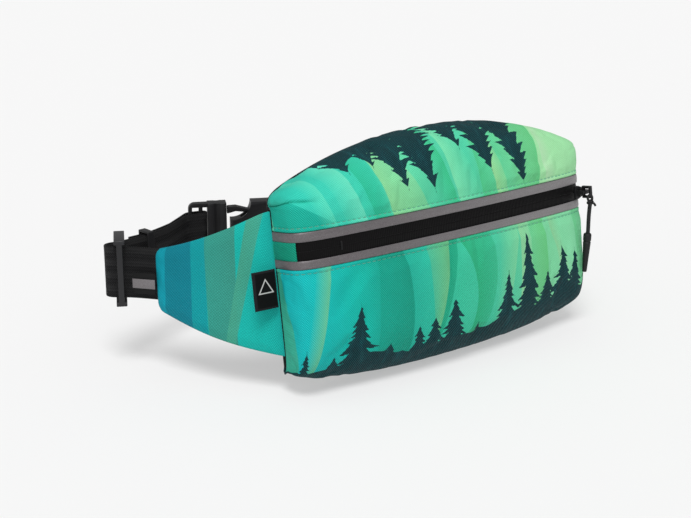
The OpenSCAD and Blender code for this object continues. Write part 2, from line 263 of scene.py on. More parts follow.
def sheet(name, front, back, uv, body="pack", attributes=None, sharp=50):
    rows, cols = front.shape[:2]
    points = concatenate([front.reshape(-1, 3), back.reshape(-1, 3)])
    uv = concatenate([uv.reshape(-1, 2)] * 2)
    both = {k: concatenate([v.ravel()] * 2) for k, v in (attributes or {}).items()}
    return mesh_object(name, points, sheet_faces(rows, cols), uv, body, both, sharp)


def normals(grid, toward):
    """Unit normals of a grid of points, on the side that faces the direction toward."""
    n = unit(np.cross(np.gradient(grid, axis=1), np.gradient(grid, axis=0)))
    middle = n[n.shape[0] // 2, n.shape[1] // 2]
    return n if middle @ np.asarray(toward, float) > 0 else -n


def tube(name, path, radius, body, sides=14, closed=False):
    """A closed tube along a path in mm; radius may change along it."""
    path = np.asarray(path, float)
    n = len(path)
    radius = broadcast_to(radius, (n,))
    tangent = np.gradient(path, axis=0)
    if closed:
        tangent = np.roll(path, -1, 0) - np.roll(path, 1, 0)
    tangent = unit(tangent)
    normal = np.cross(tangent[0], [0.31, 0.2, 0.93])
    rings = []
    angles = linspace(0, 2 * pi, sides, endpoint=False)
    for k in range(n):
        normal = unit(normal - tangent[k] * (normal @ tangent[k]))
        side = np.cross(tangent[k], normal)
        rings.append(path[k] + radius[k] * (cos(angles)[:, None] * normal + sin(angles)[:, None] * side))
    points = concatenate(rings)
    uv = stack([np.repeat(run_along(path), sides), np.tile(angles * radius.mean(), n)], 1)
    faces = tube_faces(n if closed else n - 1, sides, n)
    if not closed:
        caps = []
        for first in (0, (n - 1) * sides):
            centre = len(points)
            points = concatenate([points, points[first:first + sides].mean(0)[None]])
            uv = concatenate([uv, uv[first][None]])
            for q in range(0, sides, 2):
                caps.append([centre, first + q, first + (q + 1) % sides, first + (q + 2) % sides])
        faces = concatenate([faces, caps])
    return mesh_object(name, points, faces, uv, body, sharp=60)


def join(name, objects, body="pack"):
    """One object out of several."""
    bm = bmesh.new()
    for o in objects:
        bm.from_mesh(o.data)
    mesh = bpy.data.meshes.new(name)
    bm.to_mesh(mesh)
    bm.free()
    for o in objects:
        discard(o)
    return linked(name, mesh, body)


def refined(node, name, material, slot, bevel, segments=3):
    """The CAD node's own mesh, copied, with its edges rounded."""
    source = frame["nodes"][node]
    mesh = source.data.copy()
    bm = bmesh.new()
    bm.from_mesh(mesh)
    bmesh.ops.remove_doubles(bm, verts=bm.verts, dist=2e-6)
    bmesh.ops.dissolve_limit(bm, angle_limit=radians(1.5), verts=bm.verts, edges=bm.edges)
    edges = [e for e in bm.edges if len(e.link_faces) == 2 and e.calc_face_angle(0) > radians(32)]
    bmesh.ops.bevel(bm, geom=edges, offset=bevel * MM, offset_type="OFFSET", segments=segments, profile=0.5,
        affect="EDGES", clamp_overlap=True)
    bmesh.ops.recalc_face_normals(bm, faces=bm.faces)
    bm.to_mesh(mesh)
    bm.free()
    smoothed(mesh, 38)
    dress(linked(name, mesh, source["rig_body"]), material, slot, node)


def dress(obj, material, slot, *nodes):
    obj.data.materials.clear()
    obj.data.materials.append(material)
    if nodes:
        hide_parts(*nodes)
    return obj


# ---- material helpers
def srgb(*display):
    """A linear colour from 0-255 display values."""
    rgb = [v / 255 for v in display]
    return (*[v / 12.92 if v <= 0.04045 else ((v + 0.055) / 1.055) ** 2.4 for v in rgb], 1)


class Shade:
    """One node material, written as expressions."""

    def __init__(self, name, specular):
        self.m = bpy.data.materials.new(name)
        self.m.use_nodes = True
        self.tree = self.m.node_tree
        self.tree.nodes.clear()
        out = self.tree.nodes.new("ShaderNodeOutputMaterial")
        self.bsdf = self.made("BsdfPrincipled").node
        self.give(out.inputs["Surface"], self.bsdf.outputs[0])
        self.put("Specular IOR Level", specular)

    def made(self, kind, *values, result=0, **props):
        """An output of a new node, given its first inputs and its properties."""
        n = self.tree.nodes.new("ShaderNode" + kind)
        for k, v in props.items():
            setattr(n, k, v)
        for socket, v in zip(n.inputs, values):
            self.give(socket, v)
        return n.outputs[result]

    def give(self, socket, v):
        """A socket's value: another socket, a number, or a colour in 0-255 display values."""
        if isinstance(v, bpy.types.NodeSocket):
            self.tree.links.new(v, socket)
        else:
            socket.default_value = srgb(*v) if isinstance(v, tuple) else v

    def put(self, key, v):
        self.give(self.bsdf.inputs[key], v)

    def math(self, op, *v):
        return self.made("Math", *v, operation=op)

    def add(self, *v):
        out = v[0]
        for x in v[1:]:
            out = self.math("ADD", out, x)
        return out

    def mul(self, a, b):
        return self.math("MULTIPLY", a, b)

    def wave(self, x, period, phase=0):
        return self.math("SINE", self.add(self.mul(x, 2 * pi / period), phase))

    def ripple(self, x, period):
        """A wave between 0 and 1."""
        return self.range(self.wave(x, period), -1, 1)

    def mix(self, f, a, b, blend="MIX"):
        n = self.made("Mix", f, data_type="RGBA", blend_type=blend).node
        self.give(n.inputs[6], a)
        self.give(n.inputs[7], b)
        return n.outputs[2]

    def range(self, v, a, b, c=0, d=1, kind="LINEAR"):
        return self.made("MapRange", v, a, b, c, d, interpolation_type=kind)

    def noise(self, vector, scale, detail=2, rough=0.5):
        return self.made("TexNoise", vector, 0, scale, detail, rough)

    def split(self, vector):
        return self.made("SeparateXYZ", vector).node.outputs

    def uv(self):
        """Distances along and across the cloth, in mm."""
        u, v, _ = self.split(self.made("UVMap", uv_map="UVMap"))
        return self.mul(u, 1 / MM), self.mul(v, 1 / MM)

    def place(self):
        """The point's place in mm."""
        n = self.made("VectorMath", self.made("TexCoord", result="Object"), operation="SCALE").node
        n.inputs["Scale"].default_value = 1 / MM
        return n.outputs[0]

    def ramp(self, f, stops):
        n = self.made("ValToRGB", f).node
        e = n.color_ramp.elements
        while len(e) > 1:
            e.remove(e[-1])
        e[0].position, e[0].color = stops[0][0], srgb(*stops[0][1])
        for at, colour in stops[1:]:
            e.new(at).color = srgb(*colour)
        return n.outputs[0]

    def done(self, colour, rough, height, distance):
        """The finished material, with a bump of the given depth in mm."""
        n = self.made("Bump").node
        n.inputs["Strength"].default_value = 1
        n.inputs["Distance"].default_value = distance * MM
        self.give(n.inputs["Height"], height)
        self.put("Base Color", colour)
        self.put("Roughness", rough)
        self.put("Normal", n.outputs[0])
        return self.m


def weave(s, u, v, period):
    """Height of a coarse twilled cloth, 0 to 1: diagonal rows broken into short floats."""
    diagonal = s.wave(s.add(u, s.mul(v, 0.8)), period)
    floats = s.wave(s.add(s.mul(u, 0.35), s.mul(v, -1)), period * 0.8)
    return s.range(s.add(s.mul(diagonal, 0.62), s.mul(floats, 0.38)), -1, 1)


def bands(stops):
    """Ramp stops for flat bands with narrow soft borders: a list of (start, colour)."""
    out = [stops[0]]
    for (at, colour), (_, before) in zip(stops[1:], stops[:-1]):
        out += [(at - 0.002, before), (at + 0.002, colour)]
    return out


def finish_cloth(s, colour, u, v, rough=0.66, depth=0.3, period=1.2):
    """Weave, with painted shade between the threads and a painted highlight on them, light wear and bump on
    a cloth colour.
    """
    h = weave(s, u, v, period)
    p = s.place()
    grain = s.noise(p, 1.6, 3, 0.6)
    broad = s.noise(p, 0.045, 2)
    # painted shade: the hollows between the threads are darkened
    colour = s.mix(s.range(h, 0, 0.75, 0.55, 0), colour, s.mix(1, colour, colour, "MULTIPLY"))
    # painted highlight: the raised threads are paled towards a light mint
    colour = s.mix(s.range(h, 0.6, 1, 0, 0.15), colour, (97.2, 255, 243.4))
    colour = s.mix(s.range(grain, 0.35, 0.75, 0, 0.16), colour, (255, 255, 255), "SOFT_LIGHT")
    colour = s.mix(s.range(broad, 0.3, 0.7, 0.10, 0), colour, (0, 0, 0), "SOFT_LIGHT")
    return s.done(colour, s.range(h, 0, 1, rough + 0.12, rough - 0.10), s.add(h, s.mul(grain, 0.35)), depth)


def ribbons_over(s, colour, u, v, ribbons):
    """Ribbons of light, each between two curved borders, their strength running from side to side."""
    def border(c):
        return s.add(s.mul(s.add(s.mul(v, c[2]), c[1]), v), c[0])
    for left, right, tint, from_left, from_right in ribbons:
        a = s.math("SUBTRACT", u, border(left))
        b = s.math("SUBTRACT", border(right), u)
        share = s.math("DIVIDE", a, s.math("MAXIMUM", s.add(a, b), 0.01))
        inside = s.mul(s.range(a, -0.35, 0.35), s.range(b, -0.35, 0.35))
        strength = s.mul(inside, s.range(share, 0, 1, from_left, from_right))
        colour = s.mix(strength, colour, tint)
    return colour


def print_material(name, base, ribbons=(), slant=1):
    """A printed cloth: soft greens crossed by crisp-edged ribbons, and conifers where pine > 0."""
    s = Shade("printed_cloth_" + name, 0.12)
    u, v = s.uv()
    colour = ribbons_over(s, s.ramp(s.range(u, -GIRTH / 2, GIRTH / 2), base), u, v, ribbons)
    ink = s.ramp(s.noise(s.made("CombineXYZ", u, s.mul(v, 0.25)), 0.22, 3, 0.6),
        [(0.35, (6, 28, 40)), (0.55, (8, 36, 48)), (0.7, (14, 58, 66))])
    colour = s.mix(s.range(s.made("Attribute", result="Fac", attribute_name="pine"), -0.16, 0.16), colour,
        ink)
    return finish_cloth(s, colour, u, s.mul(v, slant))


def black_cloth():
    s = Shade("black_oxford", 0.15)
    return finish_cloth(s, (17, 16, 18), *s.uv(), 0.78, 0.22, 1.1)


def mesh_cloth():
    """Spacer mesh: rows of small round holes, painted darker inside as shade."""
    s = Shade("black_spacer_mesh", 0.25)
    u, v = s.uv()
    pitch = 3
    a, b = s.wave(u, pitch), s.wave(v, pitch * 1.1)
    c = s.wave(u, pitch, pi / 2)
    hole = s.range(s.math("MAXIMUM", s.mul(a, b), s.mul(s.mul(c, a), -0.3)), 0.25, 0.62, kind="SMOOTHSTEP")
    grain = s.noise(s.place(), 2.2, 3)
    # painted shade: the holes are darkened
    colour = s.mix(hole, (26, 26, 28), (5, 5, 6))
    s.put("Sheen Weight", 0.2)
    return s.done(s.mix(s.range(grain, 0.4, 0.7, 0, 0.25), colour, (48, 48, 50)), 0.85,
        s.add(s.mul(hole, -1), s.mul(grain, 0.4)), 0.5)


def webbing_material():
    """Ribbed herringbone webbing: u along the strap, v across it."""
    s = Shade("webbing_cloth", 0.22)
    u, v = s.uv()
    fold = s.math("PINGPONG", v, 4)
    twill = s.ripple(s.add(u, s.mul(fold, 1.15)), 1.35)
    grain = s.noise(s.place(), 2.5, 3, 0.6)
    h = s.add(s.mul(twill, 0.75), s.mul(s.ripple(v, 2), 0.25), s.mul(grain, 0.25))
    # painted light and shade: the raised twill ribs are paler and the grooves darker; the grain part is
    # random tone
    colour = s.ramp(s.mul(h, 0.8), [(0.05, (4, 4, 5)), (0.5, (6, 6, 7)), (0.95, (42, 42, 44))])
    return s.done(colour, s.range(twill, 0, 1, 0.75, 0.48), h, 0.5)


def moulded(name, shade=(11, 11, 12), rough=0.42, grain=0.05):
    """Moulded nylon with a fine spark-eroded texture, and a painted highlight paling its convex edges."""
    s = Shade(name, 0.32)
    p = s.place()
    fine = s.noise(p, 3.2, 3, 0.6)
    broad = s.noise(p, 0.12, 3)
    # painted highlight: the convex edges, found by pointiness, are paled
    painted_edge_highlight = s.made("NewGeometry", result="Pointiness")
    colour = s.mix(s.range(painted_edge_highlight, 0.5, 0.62, 0, 0.35), shade, (60, 60, 63))
    return s.done(s.mix(s.range(broad, 0.35, 0.7, 0, 0.25), colour, (24, 24, 26)),
        s.range(fine, 0.3, 0.7, rough - 0.08, rough + 0.16), fine, grain)


def reflective_material():
    """Glass-bead tape: a dull grey, painted darker towards the left end as shade, with a fine painted
    sparkle and faint cross ribs.
    """
    s = Shade("reflective_tape", 0.6)
    u, v = s.uv()
    bead = s.noise(s.place(), 5.5, 1)
    smear = s.noise(s.made("CombineXYZ", s.mul(u, 0.12), v), 0.5, 3, 0.6)
    # painted shade: the tape is darker towards the left end and paler towards the right
    colour = s.mix(s.range(u, -60, 105), (84, 78, 80), (122, 119, 120))
    # painted glints: a fine pale sparkle of the glass beads
    colour = s.mix(s.range(bead, 0.45, 0.8, 0, 0.5), colour, (176, 174, 178))
    colour = s.mix(s.range(smear, 0.35, 0.7, 0.14, 0), colour, (50, 48, 50))
    s.put("Metallic", 0.25)
    return s.done(colour, s.range(bead, 0.3, 0.7, 0.5, 0.34), s.add(bead, s.mul(s.wave(u, 1.6), 0.25)),
        0.06)


def zip_material():
    s = Shade("zip_tape_cloth", 0.12)
    u, v = s.uv()
    rib = s.ripple(u, COIL_PITCH)
    smear = s.noise(s.made("CombineXYZ", s.mul(u, 0.3), v), 0.9, 3, 0.6)
    # partly painted light: paler on the raised coil ribs; the smear part is random tone
    colour = s.ramp(s.add(s.mul(rib, 0.4), s.mul(smear, 0.6)),
        [(0.2, (1, 1, 1)), (0.6, (3, 2, 3)), (0.9, (10, 8, 10))])
    return s.done(colour, s.range(smear, 0.3, 0.7, 0.4, 0.6), s.add(rib, s.mul(smear, 0.8)), 0.12)


def thread_material(name, shade):
    s = Shade(name, 0.5)
    u, v = s.uv()
    twist = s.ripple(s.add(u, s.mul(v, 1.2)), 0.5)
    s.put("Sheen Weight", 0.3)
    return s.done(s.mix(s.mul(twist, 0.3), shade, tuple(c * 0.6 for c in shade)), 0.45, twist, 0.05)


def braid_material():
    s = Shade("braided_cord", 0.35)
    u, v = s.uv()
    h = s.range(s.mul(s.wave(s.add(u, v), 1.3), s.wave(s.add(u, s.mul(v, -1)), 1.3)), -1, 1)
    s.put("Sheen Weight", 0.04)
    # painted light and shade: the braid's raised strands are paler, its hollows darker
    return s.done(s.mix(h, (4, 4, 5), (26, 26, 28)), 0.6, h, 0.3)


def lining_material(name, shade):
    s = Shade(name, 0.4)
    p = s.place()
    x, _, z = s.split(p)
    colour = s.mix(s.range(s.noise(p, 0.2, 3), 0.3, 0.7), shade, tuple(c * 0.8 for c in shade))
    return s.done(colour, 0.5, s.mul(s.wave(x, 0.5), s.wave(z, 0.5)), 0.06)


# ---- the print's conifers
def conifer(u, v, tip_u, tip_v, height, width, seed, slope):
    """Distance inside a generic conifer, in mm; v runs from its tip to its foot."""
    r = np.random.default_rng(seed)
    tiers = int(height / 6.6) + 3
    t = (v - tip_v) / height
    lean_u = tip_u + slope * (v - tip_v) * (1 - 0.008 * (v + tip_v)) + r.uniform(-1, 1) * 0.05 * height * t
    best = full_like(u, -9)
    for side in (-1, 1):
        dx = (u - lean_u) * side
        reach = maximum(dx, 0)
        shift = r.uniform(0, 0.8) / tiers
        # branches sag, and their ends turn up again
        sag = t - 0.5 * reach / height + 0.024 * reach ** 2 / height + shift
        sag = sag + 0.045 * sin(9 * sag + seed + 2 * side)
        k = clip(sag, 0, 1.3) * tiers
        tier = np.floor(k)
        f = k - tier
        wobble = 0.72 + 0.62 * np.mod(sin((tier + 3.1 * side + seed) * 12.9898) * 43758.5453, 1)
        spread_ = width * (0.03 + clip(t, 0, 1.2) ** 0.85)
        w = spread_ * (0.52 + 0.48 * f ** 1.2) * wobble
        w = w + 0.45 * sin(v * 1.9 + u * 1.3 + seed) * sin(v * 0.7 - u * 2.3) * clip(t * 3, 0, 1)
        inside = np.where((t > 0) & (t < 1.25), w - abs(dx), -9)
        best = maximum(best, np.where(dx >= -0.2, inside, -9))
    trunk = np.where((t > -0.1) & (t < 1.3), 0.22 + 1.1 * clip(t, 0, 1) - abs(u - lean_u), -9)
    return clip(maximum(best, trunk), -2, 2)


# ---- panels of the pouch
SHELL_T = 1.4
NO_PINE = -2
SIM_FRAMES = 20


def panel_grid(s, z0, upper, rows):
    """Points of a panel: columns at s, rows at the distances rows(length) from the zip side."""
    a = linspace(0, pi / 2, 401)
    grid, lengths = [], []
    for x, y in zip(*plan(s)[:2]):
        if upper:
            k = 2 / (3.9 + 4 * ratio(x) ** 8)
            py, pz = -y * cos(a) ** k, z0 + (top_z(x) - z0) * sin(a) ** k
        else:
            k = 2 / (3 + 2.2 * ratio(x) ** 8)
            py, pz = -y * sin(a[::-1]) ** k, z0 - (z0 - bottom_z(x)) * cos(a[::-1]) ** k
        path = xyz(x, py, pz)
        want = rows(run_along(path)[-1])
        grid.append(resampled(path, want))
        lengths.append(want)
    return stack(grid, 1), stack(lengths, 1)


def settle(grid, outward, cap=2.6):
    """Displacement, in mm, of a coarse sheet pinned at its rim and blown up by Blender's cloth."""
    rows, cols = grid.shape[:2]
    faces = grid_faces(rows, cols)
    obj = mesh_object("settle", grid.reshape(-1, 3), faces, body=None)
    if array(obj.data.polygons[len(faces) // 2].normal) @ array(outward) < 0:
        obj.data.flip_normals()
    rim = np.ones((rows, cols), bool)
    rim[1:-1, 1:-1] = False
    obj.vertex_groups.new(name="pin").add([int(k) for k in np.flatnonzero(rim.ravel())], 1, "REPLACE")
    cloth = obj.modifiers.new("cloth", "CLOTH")
    c = cloth.settings
    c.quality, c.mass = 6, 0.15
    c.tension_stiffness = c.compression_stiffness = c.shear_stiffness = 30
    c.bending_stiffness = 1.2
    c.vertex_group_mass = "pin"
    c.shrink_min = -0.012
    c.use_pressure, c.uniform_pressure_force = True, 3
    c.effector_weights.gravity = 0
    cloth.point_cache.frame_start, cloth.point_cache.frame_end = 1, SIM_FRAMES
    for f in range(1, SIM_FRAMES + 1):
        bpy.context.scene.frame_set(f)
    moved = np.zeros(rows * cols * 3, np.float32)
    posed = obj.evaluated_get(bpy.context.evaluated_depsgraph_get())
    posed.data.vertices.foreach_get("co", moved)
    moved = (moved.reshape(-1, 3) - world(grid.reshape(-1, 3))) / MM
    bpy.context.scene.frame_set(1)
    discard(obj)
    size = np.linalg.norm(moved, axis=1, keepdims=True)
    moved *= minimum(1, cap / maximum(size, 1e-6))
    return moved.reshape(rows, cols, 3)


def index_of(at, values):
    """Where at falls among rising values, as a fractional index."""
    return clip(interp(at, values, arange(len(values))), 0, len(values) - 1.001)


def lookup(field, row, col):
    """Bilinear values of a grid at fractional rows and columns."""
    r, c = np.int_(row), np.int_(col)
    fr, fc = (row - r)[..., None], (col - c)[..., None]
    near = field[r, c] * (1 - fr) + field[r + 1, c] * fr
    return near * (1 - fc) + (field[r, c + 1] * (1 - fr) + field[r + 1, c + 1] * fr) * fc


def make_panel(name, upper, pines, material, node):
    z0 = ZIP_TOP + EDGE if upper else LOW_Z - EDGE
    s = linspace(-GIRTH / 2, GIRTH / 2, int(GIRTH / 0.75))
    hem = arange(0, 4.2, 0.35)
    body_rows = 92 if upper else 136
    def rows(length):
        inner = hem[-1] + (length - hem[-1] - 2) * linspace(0, 1, body_rows)[1:]
        return concatenate([hem, inner, length - 2 + 2 * linspace(0, 1, 5)[1:]])

    grid, v = panel_grid(s, z0, upper, rows)
    length = v[-1]
    points = leaned(grid)
    cs = linspace(-GIRTH / 2, GIRTH / 2, 64)
    cr = linspace(0, 1, 17 if upper else 25)
    coarse, _ = panel_grid(cs, z0, upper, lambda L: L * cr)
    moved = settle(leaned(coarse), (0, -1, 0.3 if upper else -0.3))
    moved = lookup(moved, index_of(v / length, cr), index_of(broadcast_to(s, v.shape), cs))
    # the cloth may swell out and sag back, but never sinks into the lining
    n = normals(points, (0, -1, 0))
    out = np.sum(moved * n, -1)
    loose = smoothstep(minimum(minimum(v, length - v), GIRTH / 2 - abs(s)[None]) / 9)
    points = points + (moved - out[..., None] * n) * 0.4
    points = points + n * (clip(out + 0.7, 0.05, 2.4) * loose)[..., None]
    n = normals(points, (0, -1, 0))
    seam = minimum(s + GIRTH / 2, GIRTH / 2 - s)[None]      # distance from the end seams
    rest = length - v                                            # distance from the back seam
    lift = 0.35 * (1 - smoothstep((v - 1.9) / 0.8))              # the folded hem is thicker
    lift -= 0.32 * bell(v - 2.3, 0.55)              # stitching pulls the cloth in
    for away, radius in ((v, 0.8), (rest, 0.9), (seam, 0.5)):
        near = clip(1 - away / radius, 0, 1)
        lift -= radius * (1 - sqrt(1 - near ** 2 * 0.98))
    # small gathers along the seams, and broad slackness
    u = broadcast_to(s, v.shape)
    gather = 0.16 * sin(u * 0.9 + 2 * sin(u * 0.11)) + 0.12 * sin(u * 0.37)
    pull = exp(-v / 7) * gather
    pull += exp(-rest / 8) * 0.35 * sin(u * 0.42 + 1.7 * sin(u * 0.07))
    pull += exp(-seam / 6) * 0.3 * sin(v * 0.55 + 1)
    lift += pull * smoothstep(seam / 5) * smoothstep(v / 2)
    if upper:
        # darts pinch the upper corners; the cloth swells above the left one
        for sign, force in ((-1, 1), (1, 0.2)):
            from_seam = GIRTH / 2 - sign * u
            line = 20.5 - 0.14 * from_seam
            reach = force * smoothstep((36 - from_seam) / 10)
            lift -= 1.9 * reach * bell(v - line, 0.85)
            lift += 0.55 * reach * bell(v - line + 4, 2.6)
            lift -= 1.3 * force * exp(-((from_seam - 34) / 3.4) ** 2 - ((v - line) / 3) ** 2)
            swell = exp(-((from_seam - 22) / 13) ** 2 - ((v - line - 12) / 8) ** 2)
            lift += max(0, force - 0.5) * 3.6 * swell * smoothstep(seam / 12) * smoothstep(rest / 5)
            lift -= max(0, force - 0.5) * 5 * smoothstep((v - 14) / 10) * exp(-(seam / 9) ** 2)
    points = points + n * lift[..., None]
    if upper:
        points[..., 0] += 2.7 * smoothstep((v - 13) / 8) * exp(-((s + GIRTH / 2) / 9)[None] ** 2)
    inner = points - n * SHELL_T
    field = full(v.shape, NO_PINE)
    for pine in pines:
        # the upper panel's trees hang from the back seam, as the print runs over the top
        field = maximum(field, conifer(u, v, *pine, -0.42 if upper else 0))
    if upper:
        ridge = length - 0.5 - (17 + 3 * sin(u / 6.3)) * exp(-((u + 57) / 31) ** 6)
        ridge -= (16 + 3 * sin(u / 5.1)) * exp(-((u - 27) / 30) ** 6)
    else:
        ridge = 60 - 1.5 * smoothstep((u + 40) / 30) - 9 * smoothstep((u - 20) / 80)
        ridge += 2.4 * sin(u / 17 + 2.4) + 1.5 * sin(u / 8.7)
        ridge += 1.6 * abs(sin(u / 3.7)) * abs(sin(u / 11))
    field = maximum(field, clip(v - ridge, -2, 2))
    obj = sheet(name, points, inner, stack([u, v], -1), attributes={"pine": field})
    dress(obj, material, "print_fabric", node)

    def at(along, across, out=0):
        """The place at distances along and across the finished panel, pushed out by out."""
        col = index_of(along, s)
        row = index_of(across, v[:, int(col)])
        return lookup(points, row, col) + lookup(n, row, col) * out
    return at


def stitches(name, lines, material, stitch=2.5, space=1, radius=0.24, sides=6):
    """Rows of thread: each line is a function of the distance along it, and its length."""
    points, uv = [], []
    angle = linspace(0, 2 * pi, sides, endpoint=False)
    shares = array([0, 0.07, 0.3, 0.7, 0.93, 1])
    fat = array([0.2, 0.8, 1, 1, 0.8, 0.2]) * radius
    rise = array([-0.55, -0.1, 0.25, 0.25, -0.1, -0.55]) * radius * 1.6
    for at, length in lines:
        for t in arange(0.5, length - stitch, stitch + space):
            p, n = (array(q) for q in zip(*[at(t + stitch * k) for k in shares]))
            p = p + n * rise[:, None]
            d = np.gradient(p, axis=0)
            b = np.cross(unit(d), n)
            ring = cos(angle)[:, None] * n[:, None] + sin(angle)[:, None] * b[:, None]
            points.append(p[:, None] + fat[:, None, None] * ring)
            uv.append(grid_uv(angle * radius, t + stitch * shares)[..., ::-1])
    rows = len(shares)
    faces = (capped_faces(rows, sides)[None] + arange(len(points))[:, None,
        None] * rows * sides).reshape(-1, 4)
    obj = mesh_object(name, np.reshape(points, (-1, 3)), faces, np.reshape(uv, (-1, 2)), sharp=80)
    dress(obj, material, "print_fabric")


def sweep_plan(s, z, out):
    """Points along the pouch's outline in plan: columns at s, rows at heights z, pushed out by out."""
    x, y, nx, ny = plan(s)
    return leaned(xyz(x + nx * out, -y - ny * out, np.asarray(z, float)[:, None]))


def swept(name, s, z, out, back, **more):
    """A closed sheet along the pouch's outline, between two offsets from it."""
    return sheet(name, sweep_plan(s, z, out), sweep_plan(s, z, back), grid_uv(s, z), **more)


def ribbon(name, path, z, node, rise=(0, 0), step=1.2):
    """Webbing standing upright along a path in plan, with thicker woven edges."""
    path = np.asarray(path, float)
    length = run_along(path)[-1]
    n = max(8, int(length / step))
    at = linspace(0, length, n)
    p = resampled(path, at)
    kernel = array([1, 2, 3, 2, 1]) / 9
    for _ in range(2):
        padded = concatenate([p[:1] * 3 - p[1:2] * 2, p[:1] * 2 - p[1:2], p, p[-1:] * 2 - p[-2:-1],
            p[-1:] * 3 - p[-2:-1] * 2])
        p = stack([np.convolve(padded[:, k], kernel, "valid") for k in (0, 1)], 1)
    d = unit(np.gradient(p, axis=0))
    side = stack([-d[:, 1], d[:, 0]], 1)
    w = concatenate([[-1, -0.985, -0.95, -0.9], linspace(-0.8, 0.8, 13), [0.9, 0.95, 0.985, 1]])
    half = WEB_T / 2 * np.where(abs(w) > 0.99, 0.35, np.where(abs(w) > 0.97, 0.85, 1))
    half = half + WOVEN_EDGE * 0.5 * bell(abs(w) - 0.93, 0.035)
    zz = z + interp(linspace(0, 1, n), linspace(0, 1, len(rise)), rise) + (w * WEB_W / 2)[:, None]
    front, back = (concatenate([p[None] + side[None] * (half * sign)[:, None, None], zz[..., None]], -1)
        for sign in (1, -1))
    body = None if node in ("webbing_left", "webbing_adjust") else "pack"
    obj = sheet(name, front, back, grid_uv(at, w * WEB_W / 2), body, sharp=60)
    return dress(obj, strap_cloth, "webbing", node)


def bezier(a, b, c, d, n=24):
    t = linspace(0, 1, n)[:, None]
    a, b, c, d = (np.asarray(q, float) for q in (a, b, c, d))
    return (1 - t) ** 3 * a + 3 * (1 - t) ** 2 * t * b + 3 * (1 - t) * t * t * c + t ** 3 * d


# ---- materials
def stops(pairs):
    """Ramp stops from distances along the zip in mm and display colours."""
    return [((at + GIRTH / 2) / GIRTH, (r * 0.97, g, b * 1.045)) for at, (r, g, b) in pairs]


lower_base = stops([(-143, (12, 176, 172)), (-112, (10, 180, 172)), (-78, (14, 178, 156)),
    (-52, (24, 166, 140)), (-30, (46, 182, 150)), (-6, (62, 190, 148)), (20, (72, 192, 150)),
    (44, (98, 198, 150)), (62, (128, 206, 150)), (95, (142, 212, 158)), (143, (112, 196, 144))])
lower_ribbons = [((-160, 0, 0), (-128, 0.2, 0), (58, 172, 146), 1, 1),
    ((-103, -0.18, 0), (-93.5, -0.2, 0), (112, 188, 142), 0, 0.85),
    ((-74, 0.05, 0), (-44, 0.22, -0.003), (14, 146, 122), 0, 0.9),
    ((-62, -0.1, 0.001), (-52, 0.3, -0.002), (12, 150, 126), 0.5, 0),
    ((-27, 0.05, 0), (-10, -0.1, -0.002), (112, 184, 130), 0.35, 0.95),
    ((-10, -0.1, -0.002), (-3.5, -0.16, -0.002), (28, 160, 124), 0.95, 0.8),
    ((-2, 0.62, -0.0086), (23, 0.25, -0.006), (46, 172, 124), 1, 0.55),
    ((30, -0.1, 0), (47, -0.22, 0), (134, 206, 156), 0, 0.7),
    ((47, -0.02, 0), (56, 0, 0), (150, 204, 152), 0.8, 0.5),
    ((56, 0, 0), (69, 0.06, 0), (106, 194, 126), 0.5, 0.95),
    ((74, 0.25, 0), (82, 0.3, 0), (152, 202, 152), 0.7, 0), ((98, 0.05, 0), (118, -0.1, 0), (104, 196, 134),
    0.7, 0.1)]
upper_base = stops([(-143, (84, 204, 172)), (-112, (52, 196, 168)), (-84, (66, 202, 170)),
    (-60, (62, 198, 160)), (-36, (104, 208, 156)), (-14, (88, 202, 156)), (10, (86, 202, 156)),
    (36, (108, 206, 146)), (60, (124, 206, 144)), (80, (156, 216, 160)), (143, (138, 208, 152))])
upper_ribbons = [((-160, 0, 0), (-129, -0.3, 0), (104, 200, 164), 1, 0.9),
    ((-129, -0.3, 0), (-84, -1.7, 0), (16, 170, 150), 1, 0.85),
    ((-96, -0.5, 0.0035), (-86, -0.5, 0.0035), (100, 218, 188), 0, 0.7),
    ((-80, -0.48, 0.0035), (-66, -0.48, 0.0035), (116, 220, 190), 0.1, 0.8),
    ((-60, -0.48, 0.0035), (-49, -0.48, 0.0035), (44, 184, 146), 0.9, 0.3),
    ((-48, -0.45, 0.0035), (-21, -0.66, 0.0035), (146, 210, 150), 0.9, 0.5),
    ((-14, -0.5, 0.0035), (1, -0.48, 0.0035), (58, 188, 134), 0.1, 0.9),
    ((2, -0.4, 0.0035), (20, -0.5, 0.0035), (128, 218, 172), 0.9, 0.1),
    ((21, -0.3, 0.0035), (33, -0.42, 0.0035), (82, 194, 132), 0.8, 0.3),
    ((33, -0.42, 0.0035), (42, -0.45, 0.0035), (158, 214, 152), 0.9, 0.4),
    ((48, -0.15, 0), (69, 0.06, 0), (104, 196, 130), 0.1, 0.95),
    ((69, 0.06, 0), (160, 0, 0), (166, 220, 166), 0.9, 0.5),
    ((76, -0.2, 0.0035), (86, -0.25, 0.0035), (182, 216, 178), 0.8, 0)]
print_lower = print_material("lower", lower_base, lower_ribbons, -1)
print_upper = print_material("upper", upper_base, upper_ribbons)
black = black_cloth()
spacer = mesh_cloth()
strap_cloth = webbing_material()
nylon = moulded("black_nylon")
glide_nylon = moulded("black_nylon_glide", (30, 30, 32), 0.36)
coil = moulded("black_coil", (9, 9, 10), 0.35)
metal = moulded("black_lacquered_zinc", (10, 10, 11), 0.3, 0.03)
rubber = moulded("soft_black_grip", (11, 11, 12), 0.55, 0.08)
grey_tape = reflective_material()
zip_cloth = zip_material()
mint_thread = thread_material("mint_thread", (66, 158, 132))
braid = braid_material()

